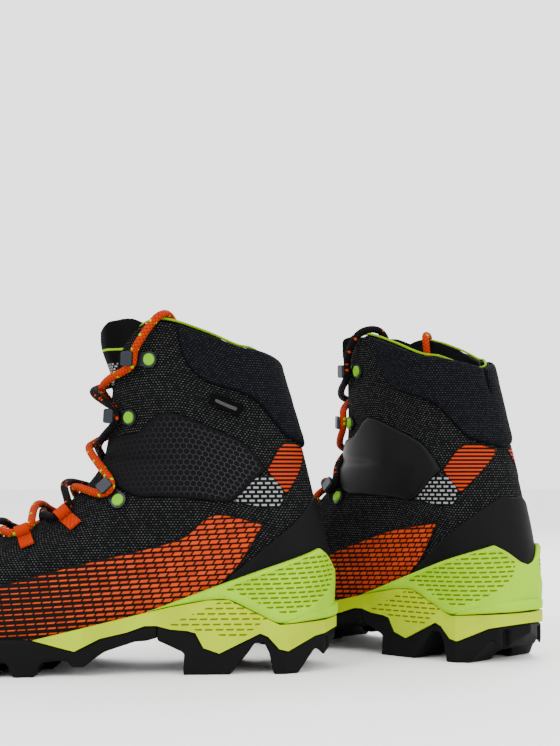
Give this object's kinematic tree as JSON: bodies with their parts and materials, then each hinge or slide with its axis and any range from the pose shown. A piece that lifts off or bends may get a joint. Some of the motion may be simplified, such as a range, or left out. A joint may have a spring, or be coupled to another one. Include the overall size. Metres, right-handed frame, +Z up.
{
  "type": "mountaineering boots",
  "caption": "Pair of ankle-high mountaineering boots with lugged rubber soles, crampon heel ledge, hook lacing and an ankle that flexes, standing side by side",
  "frame": {"origin": "middle of the pair's bounding box, on the ground", "axes": "+Z up; the left boot's toe points to -X; the right boot stands behind it (+Y), its toe turned 42.9 degrees away"},
  "size_m": [0.4416, 0.2913, 0.2103],
  "materials": {
    "rubber_black": "matt moulded rubber",
    "foam_lime": "matt moulded foam",
    "tpu_lime": "satin moulded plastic",
    "shank_plastic": "plain",
    "board_grey": "plain",
    "footbed_felt": "felted top",
    "knit_black": "knit with light grey speckle dots",
    "lining_mesh": "brushed mesh",
    "tongue_knit": "knit",
    "film_orange": "printed film",
    "collar_fabric": "padded mesh",
    "pad_rubber": "satin moulded film",
    "tab_grey": "woven",
    "webbing_orange": "woven webbing",
    "hook_metal": "satin dark lacquer",
    "rivet_lime": "satin lacquer",
    "lace_orange": "braided with green flecks",
    "lace_black": "braided with orange flecks",
    "aglet_plastic": "clear gloss over black"
  },
  "bodies": {
    "left_boot": {"left_outsole_forefoot": "rubber_black", "left_outsole_heel": "rubber_black", "left_midsole": "foam_lime", "left_heel_clip": "tpu_lime", "left_shank": "shank_plastic", "left_insole_board": "board_grey", "left_footbed": "footbed_felt", "left_upper_vamp": "knit_black", "left_flex_gusset": "knit_black", "left_lining": "lining_mesh", "left_tongue_vamp": "tongue_knit", "left_toe_rand": "rubber_black", "left_heel_counter": "rubber_black", "left_overlay_lateral": "film_orange", "left_overlay_medial": "film_orange", "left_ankle_pad_lateral": "pad_rubber", "left_ankle_pad_medial": "pad_rubber", "left_lace_loops": "webbing_orange", "left_instep_hooks": "hook_metal", "left_instep_rivets": "rivet_lime", "left_lace_orange": "lace_orange", "left_lace_black": "lace_black", "left_aglets": "aglet_plastic"},
    "left_cuff": {"left_upper_cuff": "knit_black", "left_tongue_cuff": "tongue_knit", "left_collar_pad": "collar_fabric", "left_label_tab": "tab_grey", "left_cuff_hooks": "hook_metal", "left_cuff_rivets": "rivet_lime"},
    "right_boot": {"right_outsole_forefoot": "rubber_black", "right_outsole_heel": "rubber_black", "right_midsole": "foam_lime", "right_heel_clip": "tpu_lime", "right_shank": "shank_plastic", "right_insole_board": "board_grey", "right_footbed": "footbed_felt", "right_upper_vamp": "knit_black", "right_flex_gusset": "knit_black", "right_lining": "lining_mesh", "right_tongue_vamp": "tongue_knit", "right_toe_rand": "rubber_black", "right_heel_counter": "rubber_black", "right_overlay_lateral": "film_orange", "right_overlay_medial": "film_orange", "right_ankle_pad_lateral": "pad_rubber", "right_ankle_pad_medial": "pad_rubber", "right_lace_loops": "webbing_orange", "right_instep_hooks": "hook_metal", "right_instep_rivets": "rivet_lime", "right_lace_orange": "lace_orange", "right_lace_black": "lace_black", "right_aglets": "aglet_plastic"},
    "right_cuff": {"right_upper_cuff": "knit_black", "right_tongue_cuff": "tongue_knit", "right_collar_pad": "collar_fabric", "right_label_tab": "tab_grey", "right_cuff_hooks": "hook_metal", "right_cuff_rivets": "rivet_lime"}
  },
  "joints": [
    {"name": "left_ankle_flex", "type": "hinge", "parent": "left_boot", "child": "left_cuff", "pos_m": [0.01841, -0.09123, 0.11], "axis": [0, -1, 0], "range_deg": [-8, 20], "stiffness_Nm_per_rad": 4, "deforming": ["left_flex_gusset", "left_lining", "left_ankle_pad_lateral", "left_ankle_pad_medial", "left_lace_orange", "left_lace_black"]},
    {"name": "right_ankle_flex", "type": "hinge", "parent": "right_boot", "child": "right_cuff", "pos_m": [0.1566, -0.02494, 0.11], "axis": [-0.6807, -0.7325, 0], "range_deg": [-8, 20], "stiffness_Nm_per_rad": 4, "deforming": ["right_flex_gusset", "right_lining", "right_ankle_pad_lateral", "right_ankle_pad_medial", "right_lace_orange", "right_lace_black"]},
    {"name": "right_boot_lift", "type": "slide", "parent": "left_boot", "child": "right_boot", "axis": [0, 0, 1], "range_m": [0, 0.25]}
  ]
}
